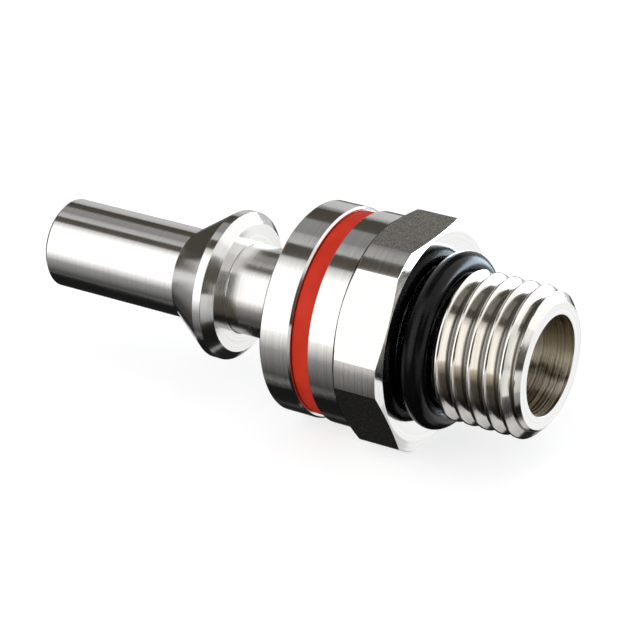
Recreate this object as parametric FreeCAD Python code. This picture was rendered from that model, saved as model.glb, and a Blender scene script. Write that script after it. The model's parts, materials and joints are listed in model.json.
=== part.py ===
import FreeCAD, Part
import math
import os

# Liquid cooling quick coupling: the plug half, with a threaded port stud.
# Sizes are in millimetres. The flow axis is X, the nose points to -X and the
# stud to +X, and +Z is up, so the coupling lies on its lower wrench flat.
# The origin is on the axis, in the sealing face of the wrench hexagon.

# Wrench hexagon
hex_across_flats = 15.875
hex_corner_rise = 0.6625
hex_thickness = 3.97
hex_front_edge_inset = 0.03
hex_front_chamfer_angle = 35.0
seal_face_edge_inset = 0.1625
seal_face_relief_angle = 13.0

# Threaded port stud, modelled on its major diameter
stud_length = 9.14
stud_major_diameter = 11.06
stud_undercut_depth = 0.795
stud_undercut_run_out = 0.285
stud_lead_angle = 45.0
stud_end_chamfer_height = 0.88
stud_end_chamfer_length = 0.73
undercut_corner_radius = 0.2
stud_wall = 1.025

# Coloured ring and port O-ring
ring_recess = 0.3075
ident_ring_edge_round = 0.08
port_o_ring_section = 1.83
port_o_ring_face_gap = 0.285

# Plug body: band, ring groove and flange disc
band_length = 2.11
band_edge_chamfer = 0.03
ring_groove_width = 1.54
ring_groove_depth = 1.0375
ring_groove_edge_round = 0.05
ring_groove_disc_chamfer = 0.14
flange_disc_length = 2.54
flange_front_chamfer = 0.15

# Plug body: neck, latch collar and nose
neck_length = 5.86
neck_fillet_radius = 0.15
collar_root_fillet_radius = 0.1
collar_bevel_height = 0.76
collar_bevel_angle = 48.0
collar_height = 2.225
collar_crest_width = 0.68
collar_crest_round = 0.06
collar_ramp_angle = 34.0
nose_diameter = 6.86
nose_length = 11.8
nose_tip_chamfer = 0.3

# Plug body: inside
nose_wall = 0.73
seat_step = 0.4
seat_length = 2.2
guide_web_thickness = 1.05
guide_seat_width = 1.5
retainer_groove_depth = 0.4
spigot_stop_width = 0.6
spigot_stop_ledge = 0.13

# Spigot that joins the adapter to the plug body, with its seal groove
spigot_wall = 1.05
spigot_bore_cone_angle = 45.0
spigot_lead_chamfer = 0.2
spigot_seal_groove_depth = 0.82
spigot_seal_land = 0.4

# Valve poppet
head_cone_angle = 45.0
head_edge_chamfer = 0.06
head_seat_margin = 0.5
poppet_seal_groove_offset = 0.5
poppet_seal_groove_depth = 0.63
fin_count = 3
fin_width = 0.8
fin_length = 3.0
fin_rear_chamfer = 0.35
spring_collar_flow_gap = 0.5
spring_collar_margin = 0.05
spring_collar_thickness = 0.5
spring_pilot_length = 1.0
core_step = 0.1
stem_diameter = 1.5
stem_rear_overhang = 0.5
stem_end_chamfer = 0.2

# Valve spring
spring_wire_diameter = 0.5
spring_active_turns = 8.0
spring_end_turns = 1.25
spring_end_ground_depth = 0.2
spring_pitch_ease = 0.25
spring_points_per_turn = 16

# Stem guide and its retainer
guide_thickness = 0.9
guide_hub_wall = 0.5
guide_hub_length = 2.1
guide_spoke_count = 3
guide_spoke_width = 0.7
retainer_thickness = 0.5
retainer_radial_width = 0.8
retainer_gap_angle = 36.0

# Clearances between pieces
ring_side_clearance = 0.02
ring_floor_clearance = 0.02
seal_clearance = 0.01
poppet_seal_side_clearance = 0.045
spigot_seal_side_clearance = 0.135
spigot_fit_clearance = 0.03
spigot_end_clearance = 0.05
guide_fit_clearance = 0.05
retainer_side_clearance = 0.02
retainer_rim_clearance = 0.03
head_clearance = 0.05
fin_clearance = 0.08
stem_clearance = 0.05
spring_pilot_clearance = 0.15
spring_coil_clearance = 0.02

# Outside diameters that follow from the sizes above
hex_corner_diameter = hex_across_flats + 2 * hex_corner_rise
flange_diameter = hex_across_flats
ident_ring_diameter = flange_diameter - 2 * ring_recess
ring_groove_floor_diameter = flange_diameter - 2 * ring_groove_depth
stud_undercut_diameter = stud_major_diameter - 2 * stud_undercut_depth
stud_undercut_length = port_o_ring_face_gap + port_o_ring_section + stud_undercut_run_out
port_bore_diameter = stud_undercut_diameter - 2 * stud_wall
collar_crest_diameter = nose_diameter + 2 * collar_height

# Inside diameters, from the nose wall inwards
chamber_diameter = nose_diameter - 2 * nose_wall
seat_bore_diameter = chamber_diameter - 2 * seat_step
head_diameter = seat_bore_diameter - 2 * head_clearance
poppet_seal_groove_diameter = head_diameter - 2 * poppet_seal_groove_depth
spring_collar_diameter = chamber_diameter - 2 * spring_collar_flow_gap
spring_outer_diameter = spring_collar_diameter - 2 * spring_collar_margin
spring_mean_diameter = spring_outer_diameter - spring_wire_diameter
spring_inner_diameter = spring_mean_diameter - spring_wire_diameter
spring_pilot_diameter = spring_inner_diameter - 2 * spring_pilot_clearance
core_diameter = spring_pilot_diameter - 2 * core_step
stem_hole_diameter = stem_diameter + 2 * stem_clearance
guide_hub_diameter = stem_hole_diameter + 2 * guide_hub_wall

# Inside diameters at the joint, from the chamber outwards
guide_pocket_diameter = chamber_diameter + 2 * guide_seat_width
retainer_groove_diameter = guide_pocket_diameter + 2 * retainer_groove_depth
socket_diameter = retainer_groove_diameter + 2 * spigot_stop_width
spigot_diameter = socket_diameter - 2 * spigot_fit_clearance
spigot_seal_groove_diameter = spigot_diameter - 2 * spigot_seal_groove_depth
spigot_bore_diameter = spigot_seal_groove_diameter - 2 * spigot_wall

# Sections of the two inner seals, which fill their grooves
poppet_seal_gap = (seat_bore_diameter - poppet_seal_groove_diameter) / 2
poppet_seal_section = poppet_seal_gap - 2 * seal_clearance
body_seal_gap = (socket_diameter - spigot_seal_groove_diameter) / 2
body_seal_section = body_seal_gap - 2 * seal_clearance

# Stations along the flow axis, from the sealing face towards the nose
x_hex_front = -hex_thickness
x_band_front = x_hex_front - band_length
x_groove_front = x_band_front - ring_groove_width
x_disc_front = x_groove_front - flange_disc_length
x_collar_back = x_disc_front - neck_length

bevel_length = collar_bevel_height / math.tan(math.radians(collar_bevel_angle))
x_crest_rear = x_collar_back - bevel_length
x_crest_front = x_crest_rear - collar_crest_width
ramp_length = collar_height / math.tan(math.radians(collar_ramp_angle))
x_ramp_foot = x_crest_front - ramp_length
x_tip = x_ramp_foot - nose_length

# Stations inside the plug body
x_seat_end = x_tip + seat_length
x_guide_front = x_disc_front + guide_web_thickness
x_guide_rear = x_guide_front + guide_thickness
x_retainer_front = x_guide_rear + retainer_side_clearance
x_retainer_rear = x_retainer_front + retainer_thickness
x_retainer_groove_rear = x_retainer_rear + retainer_side_clearance
x_spigot_stop = x_retainer_groove_rear + spigot_stop_ledge
x_spigot_end = x_spigot_stop + spigot_end_clearance
x_spring_front = x_seat_end + fin_length + spring_collar_thickness
x_stem_end = x_guide_front + guide_hub_length + stem_rear_overhang

axis_x = FreeCAD.Vector(1, 0, 0)
origin = FreeCAD.Vector(0, 0, 0)


def profile_point(point):
    """A point of a turned profile: its place along the axis and its radius."""
    return FreeCAD.Vector(point[0], 0, point[1])


def turned(points):
    """Solid turned about the flow axis. A third number rounds that corner."""
    edges = []
    ends = []
    for place, point in enumerate(points):
        here = profile_point(point)
        if len(point) < 3:
            ends.append((here, here))
            continue
        before = (profile_point(points[place - 1]) - here).normalize()
        after = (profile_point(points[(place + 1) % len(points)]) - here).normalize()
        half = before.getAngle(after) / 2
        reach = point[2] / math.tan(half)
        middle = (before + after).normalize()
        crown = here + middle * (point[2] / math.sin(half) - point[2])
        start = here + before * reach
        stop = here + after * reach
        edges.append(Part.Arc(start, crown, stop).toShape())
        ends.append((start, stop))
    for place, (start, stop) in enumerate(ends):
        following = ends[(place + 1) % len(ends)][0]
        if stop.distanceToPoint(following) > 1e-7:
            edges.append(Part.makeLine(stop, following))
    wire = Part.Wire(Part.__sortEdges__(edges))
    return Part.Face(wire).revolve(origin, axis_x, 360)


def disc(front, rear, diameter):
    """Plain cylinder on the flow axis between two stations."""
    start = FreeCAD.Vector(front, 0, 0)
    return Part.makeCylinder(diameter / 2, rear - front, start, axis_x)


def o_ring(x, inner_diameter, outer_diameter):
    """O-ring on the flow axis between two diameters."""
    section_radius = (outer_diameter - inner_diameter) / 4
    centre_radius = (outer_diameter + inner_diameter) / 4
    return Part.makeTorus(centre_radius, section_radius, FreeCAD.Vector(x, 0, 0), axis_x)


def blade(front, rear, reach, width, turn):
    """Flat blade from the flow axis outwards, turned about the axis."""
    corner = FreeCAD.Vector(front, -width / 2, 0)
    box = Part.makeBox(rear - front, width, reach, corner)
    box.rotate(origin, axis_x, turn)
    return box


def one_solid(shape):
    """The single solid of a boolean result, with its split faces joined."""
    return shape.removeSplitter().Solids[0]


def plug_body():
    nose_radius = nose_diameter / 2
    flange_radius = flange_diameter / 2
    groove_radius = ring_groove_floor_diameter / 2
    crest_radius = collar_crest_diameter / 2
    pocket_radius = guide_pocket_diameter / 2
    retainer_groove_radius = retainer_groove_diameter / 2
    socket_radius = socket_diameter / 2
    return turned([
        (x_tip, seat_bore_diameter / 2),
        (x_tip, nose_radius - nose_tip_chamfer),
        (x_tip + nose_tip_chamfer, nose_radius),
        (x_ramp_foot, nose_radius),
        (x_crest_front, crest_radius, collar_crest_round),
        (x_crest_rear, crest_radius, collar_crest_round),
        (x_collar_back, crest_radius - collar_bevel_height),
        (x_collar_back, nose_radius, collar_root_fillet_radius),
        (x_disc_front, nose_radius, neck_fillet_radius),
        (x_disc_front, flange_radius - flange_front_chamfer),
        (x_disc_front + flange_front_chamfer, flange_radius),
        (x_groove_front - ring_groove_disc_chamfer, flange_radius),
        (x_groove_front, flange_radius - ring_groove_disc_chamfer),
        (x_groove_front, groove_radius),
        (x_band_front, groove_radius),
        (x_band_front, flange_radius, ring_groove_edge_round),
        (x_hex_front - band_edge_chamfer, flange_radius),
        (x_hex_front, flange_radius - band_edge_chamfer),
        (x_hex_front, socket_radius),
        (x_spigot_stop, socket_radius),
        (x_spigot_stop, pocket_radius),
        (x_retainer_groove_rear, pocket_radius),
        (x_retainer_groove_rear, retainer_groove_radius),
        (x_guide_rear, retainer_groove_radius),
        (x_guide_rear, pocket_radius),
        (x_guide_front, pocket_radius),
        (x_guide_front, chamber_diameter / 2),
        (x_seat_end, chamber_diameter / 2),
        (x_seat_end, seat_bore_diameter / 2),
    ])


def hexagon_blank():
    """Wrench hexagon with turned corners and both of its end chamfers."""
    vertex_radius = hex_across_flats / 2 / math.cos(math.radians(30))
    vertices = []
    for side in range(7):
        angle = math.radians(30 + 60 * side)
        y = vertex_radius * math.sin(angle)
        z = vertex_radius * math.cos(angle)
        vertices.append(FreeCAD.Vector(x_hex_front, y, z))
    prism = Part.Face(Part.makePolygon(vertices)).extrude(axis_x * hex_thickness)
    corner_radius = hex_corner_diameter / 2
    front_radius = hex_across_flats / 2 - hex_front_edge_inset
    seal_radius = hex_across_flats / 2 - seal_face_edge_inset
    front_slope = math.tan(math.radians(hex_front_chamfer_angle))
    relief_slope = math.tan(math.radians(seal_face_relief_angle))
    corners = turned([
        (x_hex_front, 0),
        (x_hex_front, front_radius),
        (x_hex_front + (corner_radius - front_radius) * front_slope, corner_radius),
        (-(corner_radius - seal_radius) * relief_slope, corner_radius),
        (0, seal_radius),
        (0, 0),
    ])
    return prism.common(corners)


def port_adapter():
    spigot_radius = spigot_diameter / 2
    groove_radius = spigot_seal_groove_diameter / 2
    groove_front = x_spigot_end + spigot_seal_land
    groove_rear = groove_front + body_seal_section + 2 * spigot_seal_side_clearance
    undercut_radius = stud_undercut_diameter / 2
    major_radius = stud_major_diameter / 2
    lead_length = (major_radius - undercut_radius) / math.tan(math.radians(stud_lead_angle))
    overlap = hex_thickness / 2
    spigot = turned([
        (x_spigot_end, 0),
        (x_spigot_end, spigot_radius - spigot_lead_chamfer),
        (x_spigot_end + spigot_lead_chamfer, spigot_radius),
        (groove_front, spigot_radius),
        (groove_front, groove_radius),
        (groove_rear, groove_radius),
        (groove_rear, spigot_radius),
        (x_hex_front + overlap, spigot_radius),
        (x_hex_front + overlap, 0),
    ])
    stud = turned([
        (-overlap, 0),
        (-overlap, undercut_radius + undercut_corner_radius),
        (0, undercut_radius + undercut_corner_radius),
        (undercut_corner_radius, undercut_radius),
        (stud_undercut_length, undercut_radius),
        (stud_undercut_length + lead_length, major_radius),
        (stud_length - stud_end_chamfer_length, major_radius),
        (stud_length, major_radius - stud_end_chamfer_height),
        (stud_length, 0),
    ])
    bore_radius = port_bore_diameter / 2
    inner_radius = spigot_bore_diameter / 2
    step = abs(bore_radius - inner_radius)
    cone_length = step / math.tan(math.radians(spigot_bore_cone_angle))
    bore = turned([
        (x_spigot_end, 0),
        (x_spigot_end, inner_radius),
        (x_hex_front - cone_length, inner_radius),
        (x_hex_front, bore_radius),
        (stud_length, bore_radius),
        (stud_length, 0),
    ])
    return one_solid(hexagon_blank().fuse([spigot, stud]).cut(bore))


def ident_ring():
    inner_radius = ring_groove_floor_diameter / 2 + ring_floor_clearance
    outer_radius = ident_ring_diameter / 2
    front = x_groove_front + ring_side_clearance
    rear = x_band_front - ring_side_clearance
    return turned([
        (front, inner_radius),
        (front, outer_radius, ident_ring_edge_round),
        (rear, outer_radius, ident_ring_edge_round),
        (rear, inner_radius),
    ])


def port_o_ring():
    inner_diameter = stud_undercut_diameter + 2 * seal_clearance
    outer_diameter = inner_diameter + 2 * port_o_ring_section
    return o_ring(port_o_ring_face_gap + port_o_ring_section / 2, inner_diameter, outer_diameter)


def body_seal():
    x = x_spigot_end + spigot_seal_land + spigot_seal_side_clearance + body_seal_section / 2
    inner_diameter = spigot_seal_groove_diameter + 2 * seal_clearance
    return o_ring(x, inner_diameter, inner_diameter + 2 * body_seal_section)


def poppet_seal():
    x = x_tip + poppet_seal_groove_offset + poppet_seal_side_clearance + poppet_seal_section / 2
    inner_diameter = poppet_seal_groove_diameter + 2 * seal_clearance
    return o_ring(x, inner_diameter, inner_diameter + 2 * poppet_seal_section)


def valve_poppet():
    """Flush head, guide fins that stop on the seat, spring collar and stem."""
    head_radius = head_diameter / 2
    core_radius = core_diameter / 2
    fin_radius = chamber_diameter / 2 - fin_clearance
    groove_front = x_tip + poppet_seal_groove_offset
    groove_rear = groove_front + poppet_seal_section + 2 * poppet_seal_side_clearance
    groove_radius = poppet_seal_groove_diameter / 2
    head_rear = x_seat_end - head_seat_margin
    cone_length = (head_radius - core_radius) / math.tan(math.radians(head_cone_angle))
    collar_front = x_spring_front - spring_collar_thickness
    pilot_rear = x_spring_front + spring_pilot_length
    pilot_radius = spring_pilot_diameter / 2
    stem_radius = stem_diameter / 2
    spindle = turned([
        (x_tip, 0),
        (x_tip, head_radius - head_edge_chamfer),
        (x_tip + head_edge_chamfer, head_radius),
        (groove_front, head_radius),
        (groove_front, groove_radius),
        (groove_rear, groove_radius),
        (groove_rear, head_radius),
        (head_rear, head_radius),
        (head_rear + cone_length, core_radius),
        (collar_front, core_radius),
        (collar_front, spring_collar_diameter / 2),
        (x_spring_front, spring_collar_diameter / 2),
        (x_spring_front, pilot_radius),
        (pilot_rear - (pilot_radius - stem_radius), pilot_radius),
        (pilot_rear, stem_radius),
        (x_stem_end - stem_end_chamfer, stem_radius),
        (x_stem_end, stem_radius - stem_end_chamfer),
        (x_stem_end, 0),
    ])
    fin_envelope = turned([
        (x_seat_end, 0),
        (x_seat_end, fin_radius),
        (collar_front - fin_rear_chamfer, fin_radius),
        (collar_front, fin_radius - fin_rear_chamfer),
        (collar_front, 0),
    ])
    fins = []
    for number in range(fin_count):
        turn = 360 * number / fin_count
        fin = blade(x_seat_end, collar_front, fin_radius + fin_clearance, fin_width, turn)
        fins.append(fin.common(fin_envelope))
    return one_solid(spindle.fuse(fins))


def valve_spring():
    """Compression spring with closed end turns, ground flat at both ends."""
    length = x_guide_front - x_spring_front
    wire_radius = spring_wire_diameter / 2
    closed_pitch = spring_wire_diameter + spring_coil_clearance
    start = x_spring_front + wire_radius - spring_end_ground_depth
    travel = length - 2 * (wire_radius - spring_end_ground_depth)
    total_turns = spring_active_turns + 2 * spring_end_turns
    open_rise = travel - closed_pitch * total_turns
    steps = int(round(total_turns * spring_points_per_turn))
    points = []
    for step in range(steps + 1):
        turns = total_turns * step / steps
        share = (turns - spring_end_turns) / spring_active_turns
        share = min(1.0, max(0.0, share))
        eased = share - math.sin(2 * math.pi * share) / (2 * math.pi)
        blend = (1 - spring_pitch_ease) * share + spring_pitch_ease * eased
        x = start + closed_pitch * turns + open_rise * blend
        angle = 2 * math.pi * turns
        radius = spring_mean_diameter / 2
        points.append(FreeCAD.Vector(x, radius * math.sin(angle), radius * math.cos(angle)))
    path = Part.BSplineCurve()
    path.interpolate(points)
    wire_section = Part.Circle(points[0], path.tangent(0)[0], wire_radius).toShape()
    coil = Part.Wire(path.toShape()).makePipeShell([Part.Wire(wire_section)], True, True)
    return coil.common(disc(x_spring_front, x_guide_front, 2 * spring_mean_diameter)).Solids[0]


def stem_guide():
    """Spoked disc with a long hub that the poppet stem slides in."""
    window_radius = chamber_diameter / 2
    plate_radius = guide_pocket_diameter / 2 - guide_fit_clearance
    spoke_reach = (window_radius + plate_radius) / 2
    hub = disc(x_guide_front, x_guide_front + guide_hub_length, guide_hub_diameter)
    plate = disc(x_guide_front, x_guide_rear, 2 * plate_radius)
    window = disc(x_guide_front, x_guide_rear, 2 * window_radius)
    spokes = []
    for number in range(guide_spoke_count):
        turn = 360 * (number + 0.5) / guide_spoke_count
        spoke = blade(x_guide_front, x_guide_rear, spoke_reach, guide_spoke_width, turn)
        spokes.append(spoke)
    stem_hole = disc(x_guide_front, x_guide_front + guide_hub_length, stem_hole_diameter)
    return one_solid(plate.cut(window).fuse([hub] + spokes).cut(stem_hole))


def guide_retainer():
    """Open snap ring in the groove behind the stem guide."""
    outer_radius = retainer_groove_diameter / 2 - retainer_rim_clearance
    inner_radius = outer_radius - retainer_radial_width
    half_gap = math.radians(retainer_gap_angle / 2)
    ring = disc(x_retainer_front, x_retainer_rear, 2 * outer_radius)
    ring = ring.cut(disc(x_retainer_front, x_retainer_rear, 2 * inner_radius))
    reach = 2 * outer_radius
    wedge = Part.makePolygon([
        FreeCAD.Vector(x_retainer_front, 0, 0),
        FreeCAD.Vector(x_retainer_front, -reach * math.sin(half_gap), reach * math.cos(half_gap)),
        FreeCAD.Vector(x_retainer_front, reach * math.sin(half_gap), reach * math.cos(half_gap)),
        FreeCAD.Vector(x_retainer_front, 0, 0),
    ])
    return one_solid(ring.cut(Part.Face(wedge).extrude(axis_x * retainer_thickness)))


pieces = {
    "plug_body": plug_body,
    "port_adapter": port_adapter,
    "ident_ring": ident_ring,
    "port_o_ring": port_o_ring,
    "body_seal": body_seal,
    "valve_poppet": valve_poppet,
    "poppet_seal": poppet_seal,
    "valve_spring": valve_spring,
    "stem_guide": stem_guide,
    "guide_retainer": guide_retainer,
}

os.makedirs("parts", exist_ok=True)
for name, make in pieces.items():
    solid = make()
    solid.exportStep("parts/" + name + ".step")
    print(name, solid.ShapeType, solid.isValid(), round(solid.Volume, 3))
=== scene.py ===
import bmesh
import bpy
import json
import math
import numpy as np
from mathutils import Matrix, Vector

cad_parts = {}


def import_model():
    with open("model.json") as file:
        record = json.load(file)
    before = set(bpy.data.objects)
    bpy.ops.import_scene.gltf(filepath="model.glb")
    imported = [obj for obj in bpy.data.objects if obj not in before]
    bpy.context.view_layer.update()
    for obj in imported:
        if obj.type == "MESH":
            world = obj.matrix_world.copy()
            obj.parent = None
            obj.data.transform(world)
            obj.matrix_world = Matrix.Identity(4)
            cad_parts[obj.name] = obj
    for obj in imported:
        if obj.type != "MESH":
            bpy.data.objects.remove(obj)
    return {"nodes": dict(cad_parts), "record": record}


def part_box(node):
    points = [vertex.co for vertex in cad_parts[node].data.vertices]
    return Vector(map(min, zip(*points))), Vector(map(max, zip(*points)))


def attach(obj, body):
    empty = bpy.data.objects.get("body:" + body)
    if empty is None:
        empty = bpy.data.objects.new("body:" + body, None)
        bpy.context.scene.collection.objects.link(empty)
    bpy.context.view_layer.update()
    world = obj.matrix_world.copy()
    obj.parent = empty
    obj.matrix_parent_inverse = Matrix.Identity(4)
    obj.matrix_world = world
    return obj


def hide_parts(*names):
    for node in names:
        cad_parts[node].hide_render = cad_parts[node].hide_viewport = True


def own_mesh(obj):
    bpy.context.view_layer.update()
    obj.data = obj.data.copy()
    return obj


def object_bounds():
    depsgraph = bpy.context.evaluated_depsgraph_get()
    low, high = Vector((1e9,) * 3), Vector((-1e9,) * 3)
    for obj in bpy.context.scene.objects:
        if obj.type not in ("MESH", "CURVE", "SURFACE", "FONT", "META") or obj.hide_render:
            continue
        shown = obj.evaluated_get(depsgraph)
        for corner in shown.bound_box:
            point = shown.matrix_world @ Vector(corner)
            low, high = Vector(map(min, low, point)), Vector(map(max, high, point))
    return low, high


# Looks of the liquid cooling quick coupling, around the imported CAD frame.
# Sizes are in millimetres and become metres where a mesh is made. The flow
# axis is X, and angles about it count from +Z towards -Y, the photo's side.

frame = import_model()
cad_low, cad_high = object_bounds()
nodes = frame["nodes"]
mounts = {mount["name"]: mount for mount in frame["record"]["mounts"]}

# Metres in a millimetre
MM = 0.001

# Sizes read from the frame. The wrench flat's mount is halfway along the
# hexagon, which ends at the origin.
adapter_low, adapter_high = (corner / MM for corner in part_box("port_adapter"))
stud_length = adapter_high.x
x_spigot_end = adapter_low.x
hex_corner_radius = adapter_high.y
hex_apothem = adapter_high.z
x_hex_front = 2 * mounts["wrench_flat_upper"]["pos_m"][0] / MM
major_radius = mounts["port_stud"]["dims"]["r_mm"]
bore_radius = mounts["port_bore"]["dims"]["r_mm"]

# Port adapter, as the solid has it
hex_front_edge_inset = 0.03
hex_front_chamfer_angle = 35.0
seal_face_edge_inset = 0.1625
seal_face_relief_angle = 13.0
undercut_radius = 4.735
undercut_corner = 0.2
end_chamfer_height = 0.88
end_chamfer_length = 0.73
spigot_radius = 5.17
spigot_bore_radius = 3.3
spigot_groove_radius = 4.35
spigot_groove_front = 0.4
spigot_groove_rear = 1.5
spigot_lead = 0.2
edge_round = 0.06

# Thread on the stud: right-hand, 20 threads per inch. A root's middle lies at
# the root station where the angle about the axis is the root angle, and metal
# closer to it than the root shadow is darker, with painted shade.
thread_pitch = 1.27
thread_root_radius = 4.76
thread_crest_width = 0.16
thread_root_width = 0.12
thread_root_shadow = 0.17
thread_edge_break = 0.03
thread_root_station = 3.74
thread_root_angle = 149.05
thread_start = 2.15
thread_lead_slope = 1.73
spare_turns = 2

# From a root's middle to where the root ends, the crest starts and its middle is
thread_half = thread_pitch / 2
thread_root_end = thread_root_width / 2
thread_crest_start = thread_half - thread_crest_width / 2

# Fineness of the adapter's skin, how many sizes of a rounding the rows beside it
# stand off, what counts as equal, and up to which angle the skin shades smoothly
columns = 192
flank_rows = 12
corner_steps = 3
corner_hold = 1.7
close = 1e-3
no_length = 1e-9
weld_distance = 1e-7
smooth_angle = 20
body_slot, flat_slot, thread_slot, root_shade_slot, bore_slot, face_slot = range(6)

# Values that a noise texture mostly stays between
noise_low = 0.3
noise_high = 0.7

# Lathe marks: how squarely a surface looks along the axis to count as an end
# face, and how slowly the marks change round the axis
face_facing = 0.93
round_share = 0.004


# Objects

def new_object(name, data):
    """New object in the scene for a mesh, a lamp or a camera."""
    piece = bpy.data.objects.new(name, data)
    bpy.context.scene.collection.objects.link(piece)
    return piece


def dress(piece, material):
    """Gives a piece its one material."""
    piece.data.materials.clear()
    piece.data.materials.append(material)


# Materials

def new_material(name):
    """Empty node material and its node tree."""
    material = bpy.data.materials.new(name)
    material.use_nodes = True
    material.node_tree.nodes.clear()
    return material, material.node_tree


def connect(tree, value, socket):
    """Links a socket to another one, or gives it a constant."""
    if isinstance(value, bpy.types.NodeSocket):
        tree.links.new(value, socket)
    else:
        socket.default_value = value


def add(tree, kind, **sockets):
    """New node with its sockets set or linked by name."""
    node = tree.nodes.new(kind)
    for name, value in sockets.items():
        connect(tree, value, node.inputs[name.replace("_", " ")])
    return node


def show(tree, shader):
    """Sends a shader to the material's surface."""
    output = tree.nodes.new("ShaderNodeOutputMaterial")
    tree.links.new(shader.outputs[0], output.inputs["Surface"])


def math_node(tree, operation, *values):
    """Result of one step of arithmetic on values or sockets."""
    node = tree.nodes.new("ShaderNodeMath")
    node.operation = operation
    for place, value in enumerate(values):
        connect(tree, value, node.inputs[place])
    return node.outputs[0]


def remap(tree, value, low, high):
    """A noise value stretched between two ends."""
    return add(tree, "ShaderNodeMapRange", Value=value, From_Min=noise_low, From_Max=noise_high,
               To_Min=low, To_Max=high).outputs[0]


def noise(tree, vector, scale, detail=2.0, roughness=0.5):
    """Noise with so many swells to the metre."""
    return add(tree, "ShaderNodeTexNoise", Vector=vector, Scale=scale, Detail=detail,
               Roughness=roughness).outputs["Fac"]


def turning_coordinates(tree):
    """Position, and the place across the lathe's marks.

    The marks follow one another along the axis, and along the radius on an end
    face.
    """
    position = add(tree, "ShaderNodeTexCoord").outputs["Object"]
    parts = add(tree, "ShaderNodeSeparateXYZ", Vector=position)
    x, y, z = parts.outputs
    flat = add(tree, "ShaderNodeCombineXYZ", Y=y, Z=z).outputs[0]
    length = tree.nodes.new("ShaderNodeVectorMath")
    length.operation = "LENGTH"
    tree.links.new(flat, length.inputs[0])
    geometry = add(tree, "ShaderNodeNewGeometry")
    normal = add(tree, "ShaderNodeSeparateXYZ", Vector=geometry.outputs["Normal"])
    facing = math_node(tree, "ABSOLUTE", normal.outputs["X"])
    is_face = math_node(tree, "GREATER_THAN", facing, face_facing)
    across = tree.nodes.new("ShaderNodeMix")
    tree.links.new(is_face, across.inputs["Factor"])
    tree.links.new(x, across.inputs["A"])
    tree.links.new(length.outputs["Value"], across.inputs["B"])
    across = across.outputs["Result"]
    slow_y = math_node(tree, "MULTIPLY", y, round_share)
    slow_z = math_node(tree, "MULTIPLY", z, round_share)
    return position, add(tree, "ShaderNodeCombineXYZ", X=across, Y=slow_y, Z=slow_z).outputs[0]


def finish_metal(tree, colour, roughness, height, relief, anisotropic=0.0):
    """Metal shader with the given colour, roughness and relief in millimetres."""
    quarter_turn = 0.25
    bump = add(tree, "ShaderNodeBump", Height=height, Strength=1.0, Distance=relief * MM)
    shader = add(tree, "ShaderNodeBsdfPrincipled", Base_Color=colour, Roughness=roughness,
                 Metallic=1.0, Normal=bump.outputs[0])
    if anisotropic:
        shader.inputs["Anisotropic"].default_value = anisotropic
        shader.inputs["Anisotropic Rotation"].default_value = quarter_turn
        tangent = tree.nodes.new("ShaderNodeTangent")
        tangent.direction_type = "RADIAL"
        tangent.axis = "X"
        tree.links.new(tangent.outputs[0], shader.inputs["Tangent"])
    show(tree, shader)


def blend(tree, share, first, second):
    """Colour between two constants or sockets, by a share from 0 to 1."""
    mix = tree.nodes.new("ShaderNodeMix")
    mix.data_type = "RGBA"
    tree.links.new(share, mix.inputs["Factor"])
    for name, colour in (("A", first), ("B", second)):
        if isinstance(colour, tuple):
            colour = (*colour, 1)
        connect(tree, colour, mix.inputs[name])
    return mix.outputs["Result"]


def turned_steel(name, relief, roughness, light=(0.80, 0.79, 0.77), marks_per_metre=14000,
                 dark_share=0.9, rough_span=None, joint_shade_station=None):
    """Lathe-turned stainless steel, with fine marks round the axis.

    The dark share is what the darker marks have of the light colour. The rough
    span is a stretch along X that was left coarser, in millimetres, and from the
    station given for the joint on, the edge is dark with painted shade of the gap.
    """
    broad_share = 0.6
    cloud_scale = 260
    cloud_roughness = (-0.02, 0.03)
    roughness_swing = 0.2
    extra_roughness = 0.12
    joint_shade_colour = (0.03, 0.028, 0.025)
    material, tree = new_material(name)
    position, along = turning_coordinates(tree)
    x = add(tree, "ShaderNodeSeparateXYZ", Vector=position).outputs["X"]
    fine = noise(tree, along, marks_per_metre, detail=3.0, roughness=0.6)
    broad = noise(tree, along, marks_per_metre / 3)
    cloud = noise(tree, position, cloud_scale, detail=3.0)
    dark = tuple(dark_share * value for value in light)
    colour = blend(tree, remap(tree, broad, 0.0, 1.0), dark, light)
    marks = math_node(tree, "ADD", fine, math_node(tree, "MULTIPLY", broad, broad_share))
    swing = roughness * roughness_swing
    rough = math_node(tree, "ADD", remap(tree, fine, roughness - swing, roughness + swing),
                      remap(tree, cloud, *cloud_roughness))
    if rough_span:
        after = math_node(tree, "GREATER_THAN", x, rough_span[0] * MM)
        before = math_node(tree, "LESS_THAN", x, rough_span[1] * MM)
        inside = math_node(tree, "MULTIPLY", after, before)
        rough = math_node(tree, "ADD", rough, math_node(tree, "MULTIPLY", inside, extra_roughness))
    # Painted shade on the edge that faces the gap at a joint
    if joint_shade_station:
        in_joint_shade = math_node(tree, "GREATER_THAN", x, joint_shade_station * MM)
        colour = blend(tree, in_joint_shade, colour, joint_shade_colour)
    finish_metal(tree, colour, rough, marks, relief, anisotropic=0.7)
    return material


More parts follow.
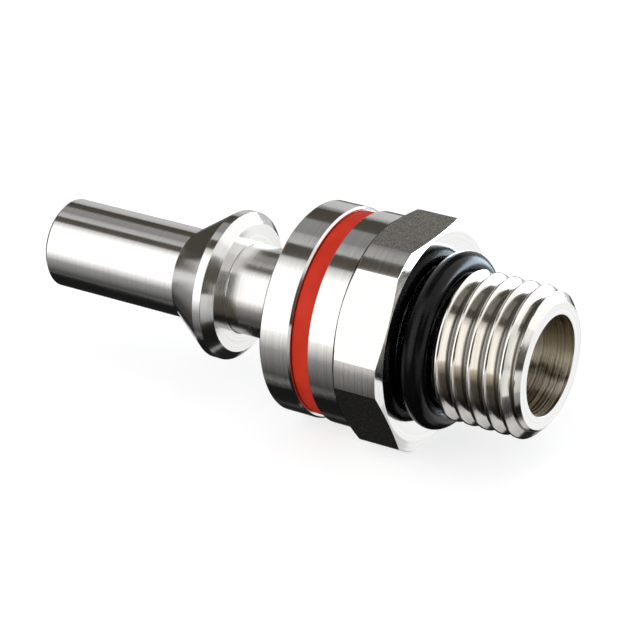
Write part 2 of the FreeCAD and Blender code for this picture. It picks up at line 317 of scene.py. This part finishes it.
def bored_steel():
    """Stainless steel of the bore: coarse tool rings, and painted reflection and shade in bands.

    The bands say how pale the wall is by its share of the way from the top of
    the bore, at 0, round either side to the bottom, at 1.
    """
    ring_scale = 7000
    blotch_scale = 700
    ring_contrast = 0.55
    blotch_roughness = (0.34, 0.46)
    band_waver = 0.03
    brown = (0.09, 0.055, 0.028)
    pale = (1.0, 0.90, 0.72)
    end_level = 0.2
    # Levels of the painted reflection and painted shade round the bore
    painted_reflection_bands = ((0.3, 0.3), (0.38, 0.85), (0.6, 1.0), (0.66, 0.7), (0.7, 0.2), (0.75, 0.8),
                  (0.8, 0.7), (0.88, 0.12))
    material, tree = new_material("bored_stainless")
    position, along = turning_coordinates(tree)
    rings = noise(tree, along, ring_scale, detail=3.0, roughness=0.7)
    blotches = noise(tree, position, blotch_scale, detail=3.0, roughness=0.6)
    parts = add(tree, "ShaderNodeSeparateXYZ", Vector=position)
    turn = math_node(tree, "ARCTAN2", parts.outputs["Y"], parts.outputs["Z"])
    turn = math_node(tree, "DIVIDE", math_node(tree, "ABSOLUTE", turn), math.pi)
    turn = math_node(tree, "ADD", turn, remap(tree, blotches, -band_waver, band_waver))
    bands = add(tree, "ShaderNodeValToRGB", Fac=turn)
    stops = bands.color_ramp.elements
    for place, level in painted_reflection_bands:
        stop = stops.new(place)
        stop.color = (level, level, level, 1)
    for stop in (stops[0], stops[-1]):
        stop.color = (end_level, end_level, end_level, 1)
    streak = remap(tree, rings, -ring_contrast, ring_contrast)
    shade = math_node(tree, "ADD", bands.outputs["Color"], streak)
    colour = blend(tree, shade, brown, pale)
    rough = remap(tree, blotches, *blotch_roughness)
    finish_metal(tree, colour, rough, rings, relief=0.08, anisotropic=0.8)
    return material


def milled_steel():
    """Stainless steel of the wrench flats, with the mill's short mottled cuts."""
    grain_scale = 6500
    mottle_scale = 4200
    grain_share = 0.5
    along_axis = (0.6, 1.0, 1.0)
    dark = (0.70, 0.68, 0.64)
    light = (0.84, 0.82, 0.79)
    mottle_roughness = (0.2, 0.3)
    material, tree = new_material("milled_stainless")
    position = add(tree, "ShaderNodeTexCoord").outputs["Object"]
    stretch = add(tree, "ShaderNodeMapping", Vector=position, Scale=along_axis)
    grain = noise(tree, stretch.outputs[0], grain_scale, detail=3.0, roughness=0.6)
    mottle = noise(tree, position, mottle_scale, detail=3.0, roughness=0.6)
    colour = blend(tree, remap(tree, grain, 0.0, 1.0), dark, light)
    height = math_node(tree, "ADD", math_node(tree, "MULTIPLY", grain, grain_share), mottle)
    finish_metal(tree, colour, remap(tree, mottle, *mottle_roughness), height, relief=0.008)
    return material


def drawn_wire():
    """Spring wire, darker than the turned steel and faintly mottled."""
    mottle_scale = 3000
    dark = (0.48, 0.48, 0.49)
    light = (0.66, 0.66, 0.66)
    mottle_roughness = (0.2, 0.34)
    material, tree = new_material("spring_wire")
    position = add(tree, "ShaderNodeTexCoord").outputs["Object"]
    mottle = noise(tree, position, mottle_scale, detail=3.0)
    colour = blend(tree, remap(tree, mottle, 0.0, 1.0), dark, light)
    finish_metal(tree, colour, remap(tree, mottle, *mottle_roughness), mottle, relief=0.004)
    return material


def dielectric(name, dark, light, roughness, grain_scale, relief, specular):
    """Plastic or rubber with a fine moulded grain and its relief in millimetres."""
    cloud_scale = 420
    roughness_spread = 0.07
    material, tree = new_material(name)
    position = add(tree, "ShaderNodeTexCoord").outputs["Object"]
    grain = noise(tree, position, grain_scale, detail=4.0, roughness=0.65)
    cloud = noise(tree, position, cloud_scale)
    colour = blend(tree, remap(tree, cloud, 0.0, 1.0), dark, light)
    rough = remap(tree, grain, roughness - roughness_spread, roughness + roughness_spread)
    bump = add(tree, "ShaderNodeBump", Height=grain, Strength=1.0, Distance=relief * MM)
    shader = add(tree, "ShaderNodeBsdfPrincipled", Base_Color=colour, Roughness=rough,
                 Specular_IOR_Level=specular, Normal=bump.outputs[0])
    show(tree, shader)
    return material


# Stretch of the neck that was left coarser, and width of the painted shade line at the joint
neck_rough_span = (-15.9, -10.3)
joint_shade_width = 0.04

body_steel = turned_steel("turned_stainless", relief=0.003, roughness=0.13)
plug_steel = turned_steel("plug_stainless", relief=0.003, roughness=0.13,
                          rough_span=neck_rough_span, joint_shade_station=x_hex_front - joint_shade_width)
thread_steel = turned_steel("threaded_stainless", relief=0.0035, roughness=0.13,
                            light=(0.89, 0.86, 0.81), marks_per_metre=11000, dark_share=0.8)
# Darker steel whose colour is painted shade, for the thread's roots and the hexagon's front edge
root_shade_steel = turned_steel("thread_root_painted_shade", relief=0.02, roughness=0.3,
                          light=(0.46, 0.44, 0.41), marks_per_metre=9000, dark_share=0.4)
valve_steel = turned_steel("valve_stainless", relief=0.005, roughness=0.24,
                           light=(0.74, 0.74, 0.73))
face_steel = turned_steel("faced_stainless", relief=0.0012, roughness=0.06,
                          light=(0.84, 0.84, 0.83))
bore_steel = bored_steel()
flat_steel = milled_steel()
wire_steel = drawn_wire()
red_plastic = dielectric("ring_plastic", dark=(0.60, 0.028, 0.010), light=(0.74, 0.046, 0.020),
                         roughness=0.6, grain_scale=9000, relief=0.004, specular=0.10)
black_rubber = dielectric("seal_rubber", dark=(0.002, 0.002, 0.0025), light=(0.004, 0.004, 0.005),
                          roughness=0.21, grain_scale=7000, relief=0.004, specular=0.2)

# Pieces that the CAD frame brings
dress(nodes["plug_body"], plug_steel)
dress(nodes["ident_ring"], red_plastic)
dress(nodes["port_o_ring"], black_rubber)
dress(nodes["body_seal"], black_rubber)
dress(nodes["poppet_seal"], black_rubber)
dress(nodes["valve_poppet"], valve_steel)
dress(nodes["stem_guide"], valve_steel)
dress(nodes["guide_retainer"], wire_steel)


# Port adapter with its thread

# Angles round the axis, and at each of them the hexagon's radius, whether it
# lies on a wrench flat, and how far the helix has gone along the axis
angles = np.arange(columns) * 360.0 / columns
hexagon_step = 60.0
from_vertex = (angles + hexagon_step / 2) % hexagon_step - hexagon_step / 2
hexagon = hex_apothem / np.cos(np.radians(from_vertex))
hexagon = np.minimum(hexagon, hex_corner_radius)
on_flat = hexagon < hex_corner_radius - close
helix_shift = thread_pitch * (angles - thread_root_angle) / 360.0


def ring(x, radius):
    """One row of the adapter's skin: stations and radii round the axis."""
    return np.broadcast_to(x, columns).astype(float), np.broadcast_to(radius, columns).astype(float)


def corner_rows(before, corner, after, size):
    """Rows that round the corner between two straight stretches of rows."""
    before, corner, after = (np.stack(row) for row in (before, corner, after))
    back = before - corner
    ahead = after - corner
    back = back / np.maximum(np.linalg.norm(back, axis=0), no_length)
    ahead = ahead / np.maximum(np.linalg.norm(ahead, axis=0), no_length)
    rows = [corner + back * size * corner_hold]
    for step in range(corner_steps + 1):
        share = step / corner_steps
        start = corner + back * size * (1 - share)
        stop = corner + ahead * size * share
        rows.append(start + (stop - start) * share)
    rows.append(corner + ahead * size * corner_hold)
    return [(row[0], row[1]) for row in rows]


def rounded(rows, sizes):
    """Closed loop of rows with the named corners rounded."""
    result = []
    for place, (row, size) in enumerate(zip(rows, sizes)):
        if size:
            result += corner_rows(rows[place - 1], row, rows[(place + 1) % len(rows)], size)
        else:
            result.append(row)
    return result


def root_distance(x):
    """Distance along the axis from the nearest root's middle, at every angle."""
    distance = x - thread_root_station - helix_shift
    return np.abs((distance + thread_half) % thread_pitch - thread_half)


def thread_profile(distance):
    """Radius of the thread at a distance from a root's middle."""
    edge = thread_crest_start
    places = [0, thread_root_end, edge - thread_edge_break, edge + thread_edge_break, thread_half]
    slope = (major_radius - thread_root_radius) / (edge - thread_root_end)
    shoulder = major_radius - slope * thread_edge_break
    radii = [thread_root_radius, thread_root_radius, shoulder, major_radius, major_radius]
    return np.interp(distance, places, radii)


def thread_envelope(x):
    """Stud's turned outline, which cuts the thread off at both of its ends."""
    lead = undercut_radius + (x - thread_start) * thread_lead_slope
    slope = end_chamfer_height / end_chamfer_length
    chamfer = major_radius - (x - (stud_length - end_chamfer_length)) * slope
    return np.minimum(np.minimum(lead, chamfer), major_radius)


def thread_rows():
    """Rows that follow the thread's helix from the undercut to the end face."""
    flank = np.linspace(thread_root_end, thread_crest_start - thread_edge_break, flank_rows)
    rising = np.append(flank, thread_crest_start + thread_edge_break)
    phases = np.concatenate([rising, thread_pitch - rising[::-1]])
    first = int((thread_start - thread_root_station) / thread_pitch) - spare_turns
    last = int((stud_length - thread_root_station) / thread_pitch) + spare_turns
    rows = []
    for turn in range(first, last):
        for phase in phases:
            x = thread_root_station + helix_shift + thread_pitch * turn + phase
            x = np.clip(x, thread_start, stud_length)
            rows.append((x, np.minimum(thread_profile(root_distance(x)), thread_envelope(x))))
    return rows, len(phases)


def skin(name, rows, materials, material_of_row, helix, rows_per_turn):
    """Closed mesh through rows of points, the last row joined to the first.

    Rows in the helix range join the row one turn on where they close.
    """
    def closing(row):
        """First point of the row that this one closes onto."""
        if row in helix:
            row = min(row + rows_per_turn, helix[-1])
        return row * columns

    sine = np.sin(np.radians(angles))
    cosine = np.cos(np.radians(angles))
    points = []
    for x, radius in rows:
        points.append(np.stack([x, -radius * sine, radius * cosine], axis=1))
    points = np.concatenate(points) * MM
    faces = []
    for row in range(len(rows)):
        following = (row + 1) % len(rows)
        for column in range(columns - 1):
            start = row * columns + column
            stop = following * columns + column
            faces.append((start, start + 1, stop + 1, stop))
        last = columns - 1
        faces.append((row * columns + last, closing(row), closing(following),
                      following * columns + last))
    mesh = bpy.data.meshes.new(name)
    mesh.from_pydata([tuple(point) for point in points], [], faces)
    for material in materials:
        mesh.materials.append(material)
    picks = [np.broadcast_to(material_of_row(row), columns) for row in range(len(rows))]
    picks = np.concatenate(picks)
    mesh.polygons.foreach_set("material_index", picks.astype(np.int32))
    return new_object(name, mesh)


def weld(piece):
    """Joins doubled points, turns the faces outwards and shades smoothly.

    The edge between a milled flat and the turned corners stays hard.
    """
    surface = bmesh.new()
    surface.from_mesh(piece.data)
    bmesh.ops.remove_doubles(surface, verts=surface.verts, dist=weld_distance)
    bmesh.ops.dissolve_degenerate(surface, edges=surface.edges, dist=weld_distance)
    bmesh.ops.recalc_face_normals(surface, faces=surface.faces)
    surface.to_mesh(piece.data)
    surface.free()
    piece.data.shade_smooth()
    piece.data.set_sharp_from_angle(angle=math.radians(smooth_angle))
    surface = bmesh.new()
    surface.from_mesh(piece.data)
    for edge in surface.edges:
        slots = {face.material_index for face in edge.link_faces}
        if slots == {flat_slot, body_slot}:
            edge.smooth = False
    surface.to_mesh(piece.data)
    surface.free()


def port_adapter():
    """Adapter with its real thread, hexagon and bore, in one closed skin."""
    front_radius = hex_apothem - hex_front_edge_inset
    seal_radius = hex_apothem - seal_face_edge_inset
    front_slope = math.tan(math.radians(hex_front_chamfer_angle))
    relief_slope = math.tan(math.radians(seal_face_relief_angle))
    groove_front = x_spigot_end + spigot_groove_front
    groove_rear = x_spigot_end + spigot_groove_rear
    cone_length = bore_radius - spigot_bore_radius
    foot = undercut_radius + undercut_corner
    relief_reach = 0.5
    longest_bevel = 1.0

    # Rows of the skin and the size of the rounding at each, from the spigot's
    # end along the outside to the thread, and back through the bore
    shoulder = [
        (ring(x_spigot_end, spigot_bore_radius), 0),
        (ring(x_spigot_end, spigot_radius - spigot_lead), 0),
        (ring(x_spigot_end + spigot_lead, spigot_radius), 0),
        (ring(groove_front, spigot_radius), 0),
        (ring(groove_front, spigot_groove_radius), 0),
        (ring(groove_rear, spigot_groove_radius), 0),
        (ring(groove_rear, spigot_radius), 0),
        (ring(x_hex_front, spigot_radius), 0),
        (ring(x_hex_front, front_radius), 0),
        (ring(x_hex_front + (hexagon - front_radius) * front_slope, hexagon), 0),
        (ring(-(hexagon - seal_radius) * relief_slope, hexagon), edge_round / 3),
        (ring(0, seal_radius), edge_round / 2),
        (ring(0, foot), 0),
        (ring(undercut_corner, undercut_radius), 0),
        (ring(thread_start, undercut_radius), 0),
    ]
    end = [
        (ring(stud_length, major_radius - end_chamfer_height), edge_round / 2),
        (ring(stud_length, bore_radius), edge_round / 2),
        (ring(x_hex_front, bore_radius), 0),
        (ring(x_hex_front - cone_length, spigot_bore_radius), 0),
    ]
    outline = shoulder + end
    rows = rounded([row for row, _ in outline], [size for _, size in outline])
    thread, rows_per_turn = thread_rows()
    after = [place for place, (x, _) in enumerate(rows) if x.min() > thread_start + close][0]
    rows = rows[:after] + thread + rows[after:]
    helix = range(after, after + len(thread))

    def material_of_row(row):
        """Material slots of the faces between a row and the next one."""
        (x, radius), (next_x, next_radius) = rows[row], rows[(row + 1) % len(rows)]
        flats = on_flat & np.roll(on_flat, -1)
        # Thread, with painted shade near the middle of its roots
        if row in helix:
            below_crest = radius < major_radius - thread_edge_break
            in_root_shade = (root_distance(x) < thread_root_shadow) & below_crest
            return np.where(in_root_shade, root_shade_slot, thread_slot)
        # Wall of the bore
        if abs(radius - bore_radius).max() < close and abs(next_radius - bore_radius).max() < close:
            return bore_slot
        # Sealing face and the stud's end face, then the relief before the first
        if abs(x - next_x).max() < close and x.min() > -close:
            return face_slot
        if x.min() > -relief_reach and next_x.max() < close:
            return face_slot
        # Front edge of the hexagon, with painted shade along the flats for the gap at the joint
        if abs(x - x_hex_front).max() < close and next_radius.max() > hex_corner_radius - close:
            return np.where(flats, root_shade_slot, body_slot)
        # Sides of the hexagon
        on_hexagon = min(radius.min(), next_radius.min()) > seal_radius
        if on_hexagon and (next_x - x).max() > longest_bevel:
            return np.where(flats, flat_slot, body_slot)
        return body_slot

    materials = [body_steel, flat_steel, thread_steel, root_shade_steel, bore_steel, face_steel]
    piece = skin("port_adapter_threaded", rows, materials, material_of_row, helix, rows_per_turn)
    weld(piece)
    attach(piece, "coupling")
    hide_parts("port_adapter")


port_adapter()


# Valve spring

def valve_spring():
    """Copy of the coil, with a mesh of its own; the real coil shortens as the poppet is pushed in.
    """
    piece = new_object("valve_spring_coil", nodes["valve_spring"].data.copy())
    dress(piece, wire_steel)
    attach(piece, "coupling")
    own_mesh(piece)
    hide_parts("valve_spring")


valve_spring()


# Studio

# The studio is in metres. The cards and the camera are laid out together, then
# turned about the flow axis to where the photo sees the wrench flats.
studio_turn = -1.85
studio = Matrix.Rotation(math.radians(studio_turn), 4, "X")
floor_gap = 0.00002
floor_z = cad_low.z - floor_gap
floor_half = 3.0
floor_glow = 0.74
floor_shade = 0.42
floor_bounce = 0.8
seen_background = 1.0
lighting_background = 0.55

# Tints of the cards
plain_white = (1.0, 1.0, 1.0)
warm_white = (1.0, 0.88, 0.72)
faint_warm = (1.0, 0.95, 0.88)
cool_white = (0.72, 0.86, 1.0)

# Where the cards stand: radii of the long ones about the axis, and stations of
# those across it
card_radius = 0.5
strip_radius = 0.49
left_card_x = -0.6
right_card_x = 0.55
right_shade_x = 0.54


def card_material():
    """Glow whose strength and tint each card holds at its own corners."""
    material, tree = new_material("studio_card")
    glow = tree.nodes.new("ShaderNodeAttribute")
    glow.attribute_name = "glow"
    show(tree, add(tree, "ShaderNodeEmission", Color=glow.outputs["Color"]))
    return material


glowing = card_material()


def card(name, corners, levels, tint):
    """Card that only reflections see, so it neither lights nor hides.

    The levels are how brightly it glows at its four corners.
    """
    mesh = bpy.data.meshes.new(name)
    mesh.from_pydata([studio @ Vector(corner) for corner in corners], [], [(0, 1, 2, 3)])
    mesh.materials.append(glowing)
    glow = mesh.attributes.new("glow", "FLOAT_COLOR", "POINT")
    for corner, level in zip(glow.data, levels):
        corner.color = (*(level * value for value in tint), 1)
    piece = new_object(name, mesh)
    piece.visible_camera = False
    piece.visible_diffuse = False
    piece.visible_shadow = False
    piece.visible_volume_scatter = False


def long_card(name, turns, reach, levels, tint=plain_white, radius=card_radius):
    """Card along the flow axis, between two angles about it.

    Two levels belong to the two angles, and four to the corners.
    """
    first, second = (math.radians(turn) for turn in turns)
    start, stop = reach
    corners = []
    for turn, x in ((first, start), (first, stop), (second, stop), (second, start)):
        corners.append((x, -radius * math.sin(turn), radius * math.cos(turn)))
    if len(levels) == 2:
        levels = (levels[0], levels[0], levels[1], levels[1])
    card(name, corners, levels, tint)


def end_card(name, x, across, heights, levels, tint=plain_white):
    """Card across the flow axis, between two heights that each have a level."""
    near, far = across
    low, high = heights
    corners = [(x, near, low), (x, far, low), (x, far, high), (x, near, high)]
    card(name, corners, (levels[0], levels[0], levels[1], levels[1]), tint)


# Stretches along the axis, named by what sees a card there
full_reach = (-0.7, 0.1)
front_reach = (-0.7, 0.09)
plug_reach = (-0.7, -0.24)
thread_reach = (-0.24, 0.0)
patch_reach = (0.15, 0.47)
right_reach = (0.06, 0.9)
nose_reach = (-0.2945, -0.2775)
disc_reach = (-0.2775, -0.2)

# Stretches across the axis, on the photo's side
right_front = (-0.6, -0.042)
left_front = (-0.5, 0.12)

# Behind and above, seen in the tops of the turned faces
long_card("back_outline", (-124, -104), (-0.37, 0.05), (0.03, 0.08))
long_card("back_sweep", (-104, -65), (-0.39, 0.05), (0.62, 0.62))
long_card("back_gap", (-65, -36), full_reach, (0.07, 0.09), warm_white)
long_card("top_card", (-36, -13), plug_reach, (0.34, 0.3))
long_card("top_front_card", (-13, 2), plug_reach, (0.5, 0.64))
long_card("thread_top_card", (-36, 2), (-0.24, 0.1), (0.2, 0.24), faint_warm)
long_card("front_gap", (2, 18), full_reach, (0.07, 0.11), warm_white)

# Bright front, and the table in front and below, with painted shadow straight below
long_card("front_box_edge", (18, 32), front_reach, (0.6, 1.35))
long_card("front_box", (32, 98), front_reach, (1.45, 1.5))
long_card("camera_side", (36, 98), (0.09, 0.36), (0.03, 0.06), warm_white)
long_card("front_table_edge", (98, 119), plug_reach, (1.4, 0.42))
long_card("front_table", (119, 152), plug_reach, (0.4, 0.07))
long_card("thread_table_edge", (98, 119), thread_reach, (0.8, 0.12), warm_white)
long_card("thread_table", (119, 162), thread_reach, (0.1, 0.02), warm_white)
long_card("right_front_table", (98, 150), (0.0, 0.5), (0.12, 0.1), warm_white)
long_card("right_front_table_low", (150, 162), (0.0, 0.75), (0.03, 0.012), warm_white)
long_card("table_line", (152, 162), plug_reach, (0.1, 0.08))
long_card("table_dark_front", (162, 184), (-0.7, 0.75), (0.012, 0.012))
long_card("table_dark_middle", (184, 202), (-0.7, 0.15), (0.012, 0.014))
long_card("table_patch_start", (184, 186), patch_reach, (0.012, 0.02))
long_card("table_patch_edge", (186, 194), patch_reach, (0.02, 0.66))
long_card("table_patch", (194, 202), patch_reach, (0.66, 0.7))
long_card("table_patch_far", (184, 202), (0.47, 0.75), (0.1, 0.14))
long_card("table_patch_low", (202, 213), (0.12, 0.34), (0.62, 0.5))
long_card("table_dark", (202, 226), (-0.7, 0.12), (0.014, 0.016))
long_card("table_dark_right", (213, 226), (0.12, 0.18), (0.016, 0.016))
long_card("table_pale", (213, 226), (0.18, 0.45), (0.72, 0.72))
long_card("table_back", (226, 236), (-0.32, 0.05), (0.2, 0.5))

# Thin strips that only the nose, or only the disc and hexagon, see
long_card("nose_line", (-84, -67), nose_reach, (0.05, 0.42, 0.42, 0.05), radius=strip_radius)
long_card("nose_line_edge", (-67, -57), nose_reach, (0.36, 0.25), radius=strip_radius)
long_card("nose_table_line", (152, 159), nose_reach, (0.12, 0.55), radius=strip_radius)
long_card("nose_table_edge", (159, 169), nose_reach, (0.55, 0.18), radius=strip_radius)
long_card("disc_outline", (-122, -93), disc_reach, (0.02, 0.13), radius=strip_radius)
long_card("disc_table_line", (196, 206), disc_reach, (0.05, 0.05), radius=strip_radius)

# Right of the coupling, seen in the thread, the bevels and the end face
long_card("right_back_low", (-134, -112), right_reach, (1.06, 1.1))
long_card("right_back_glow", (-112, -104), right_reach, (1.3, 6.0), cool_white)
long_card("right_back_strip", (-104, -80), right_reach, (9.0, 9.0), cool_white)
long_card("right_back_top", (-80, -70), right_reach, (3.5, 1.3))
long_card("right_back_high", (-70, -15), right_reach, (1.3, 1.3))
end_card("right_card", right_card_x, right_front, (0.015, 0.32), (0.1, 0.1), warm_white)
end_card("right_table_line", right_card_x, right_front, (-0.055, 0.015), (0.03, 0.04), warm_white)
end_card("right_table", right_card_x, right_front, (-0.36, -0.055), (0.55, 0.9))
end_card("right_table_low", right_card_x, right_front, (-0.7, -0.36), (0.12, 0.55))


def right_shade(name, corners, levels):
    """Four-sided card just in front of the right ones, by its corners' Y and Z."""
    card(name, [(right_shade_x, y, z) for y, z in corners], levels, plain_white)


right_shade("right_table_shade", ((-0.1, -0.8), (-0.03, -0.8), (-0.03, -0.28), (-0.225, -0.28)),
            (0.1, 0.05, 0.25, 0.45))
right_shade("right_table_shadow", ((-0.03, -0.8), (0.12, -0.8), (0.12, -0.28), (-0.03, -0.28)),
            (0.015, 0.015, 0.05, 0.07))

# Left of the coupling, seen in the collar's ramp
end_card("left_dark", left_card_x, (0.12, 0.62), (-0.36, 0.5), (0.06, 0.08), warm_white)
end_card("left_far", left_card_x, (0.62, 1.05), (-0.5, 0.5), (0.16, 0.13), cool_white)
end_card("left_table_front", left_card_x, left_front, (-0.07, 0.05), (0.95, 0.95))
end_card("left_table", left_card_x, left_front, (-0.16, -0.07), (0.34, 0.95))
end_card("left_table_edge", left_card_x, left_front, (-0.36, -0.16), (0.05, 0.34))
end_card("left_gap", left_card_x, left_front, (0.05, 0.3), (0.12, 0.05), warm_white)
end_card("left_below", left_card_x, (-0.5, 0.5), (-0.7, -0.36), (0.05, 0.05))
end_card("left_far_below", left_card_x, (0.5, 1.05), (-0.85, -0.5), (0.3, 0.3), cool_white)


def floor():
    """Pale floor that keeps the coupling's shadow and that no reflection shows."""
    mesh = bpy.data.meshes.new("floor")
    corners = []
    for x, y in ((-1, -1), (1, -1), (1, 1), (-1, 1)):
        corners.append((x * floor_half, y * floor_half, floor_z))
    mesh.from_pydata(corners, [], [(0, 1, 2, 3)])
    piece = new_object("floor", mesh)
    material, tree = new_material("studio_floor")
    path = tree.nodes.new("ShaderNodeLightPath")
    glow = add(tree, "ShaderNodeEmission", Strength=floor_glow)
    shaded = add(tree, "ShaderNodeBsdfDiffuse", Color=(floor_shade, floor_shade, floor_shade, 1))
    seen = tree.nodes.new("ShaderNodeAddShader")
    tree.links.new(glow.outputs[0], seen.inputs[0])
    tree.links.new(shaded.outputs[0], seen.inputs[1])
    plain = add(tree, "ShaderNodeBsdfDiffuse", Color=(floor_bounce, floor_bounce, floor_bounce, 1))
    choice = tree.nodes.new("ShaderNodeMixShader")
    tree.links.new(path.outputs["Is Camera Ray"], choice.inputs[0])
    tree.links.new(plain.outputs[0], choice.inputs[1])
    tree.links.new(seen.outputs[0], choice.inputs[2])
    show(tree, choice)
    mesh.materials.append(material)
    piece.visible_glossy = False
    piece.visible_transmission = False


floor()


def world():
    """White for what sees the background, and plain soft light for the rest."""
    surroundings = bpy.data.worlds.new("studio")
    bpy.context.scene.world = surroundings
    surroundings.use_nodes = True
    tree = surroundings.node_tree
    tree.nodes.clear()
    path = tree.nodes.new("ShaderNodeLightPath")
    through = path.outputs["Is Transmission Ray"]
    glossy = math_node(tree, "MAXIMUM", path.outputs["Is Glossy Ray"], through)
    seen = math_node(tree, "MAXIMUM", path.outputs["Is Camera Ray"], glossy)
    strength = add(tree, "ShaderNodeMapRange", Value=seen, To_Min=lighting_background,
                   To_Max=seen_background)
    background = add(tree, "ShaderNodeBackground", Color=(1, 1, 1, 1), Strength=strength.outputs[0])
    output = tree.nodes.new("ShaderNodeOutputWorld")
    tree.links.new(background.outputs[0], output.inputs["Surface"])


world()


def soft_lamp(name, place, size, level):
    """Square soft lamp that faces the coupling, with the radiance given."""
    data = bpy.data.lights.new(name, "AREA")
    data.shape = "SQUARE"
    data.size = size
    data.energy = level * math.pi * size * size
    lamp = new_object(name, data)
    lamp.location = place
    lamp.rotation_euler = (-Vector(place)).to_track_quat("-Z", "Y").to_euler()
    lamp.visible_glossy = False


soft_lamp("front_lamp", place=(-0.28, -0.42, 0.34), size=0.5, level=1.5)
soft_lamp("top_lamp", place=(0.12, 0.1, 0.55), size=0.4, level=0.9)


# Camera

# Angles as the photo has them, and places in millimetres from the hexagon's
# front face on the axis
camera_azimuth = 31.35
camera_elevation = 25.4
camera_distance = 199.6
camera_side_step = -5.02
camera_rise = 0.30
camera_lens = 154.97
camera_sensor = 36
camera_near_limit = 1


def photo_camera():
    """Camera where the photo was taken from."""
    azimuth = math.radians(camera_azimuth)
    elevation = math.radians(camera_elevation)
    right = Vector((math.cos(azimuth), math.sin(azimuth), 0))
    back = Vector((math.sin(azimuth) * math.cos(elevation),
                   -math.cos(azimuth) * math.cos(elevation), math.sin(elevation)))
    up = back.cross(right)
    data = bpy.data.cameras.new("photo_camera")
    data.lens = camera_lens
    data.sensor_width = camera_sensor
    data.clip_start = camera_near_limit * MM
    camera = new_object("photo_camera", data)
    place = Vector((x_hex_front, 0, 0)) + right * camera_side_step + up * camera_rise
    place += back * camera_distance
    axes = Matrix((right, up, back)).transposed().to_4x4()
    camera.matrix_world = studio @ Matrix.Translation(place * MM) @ axes
    bpy.context.scene.camera = camera


photo_camera()
bpy.context.scene.view_settings.view_transform = "Standard"
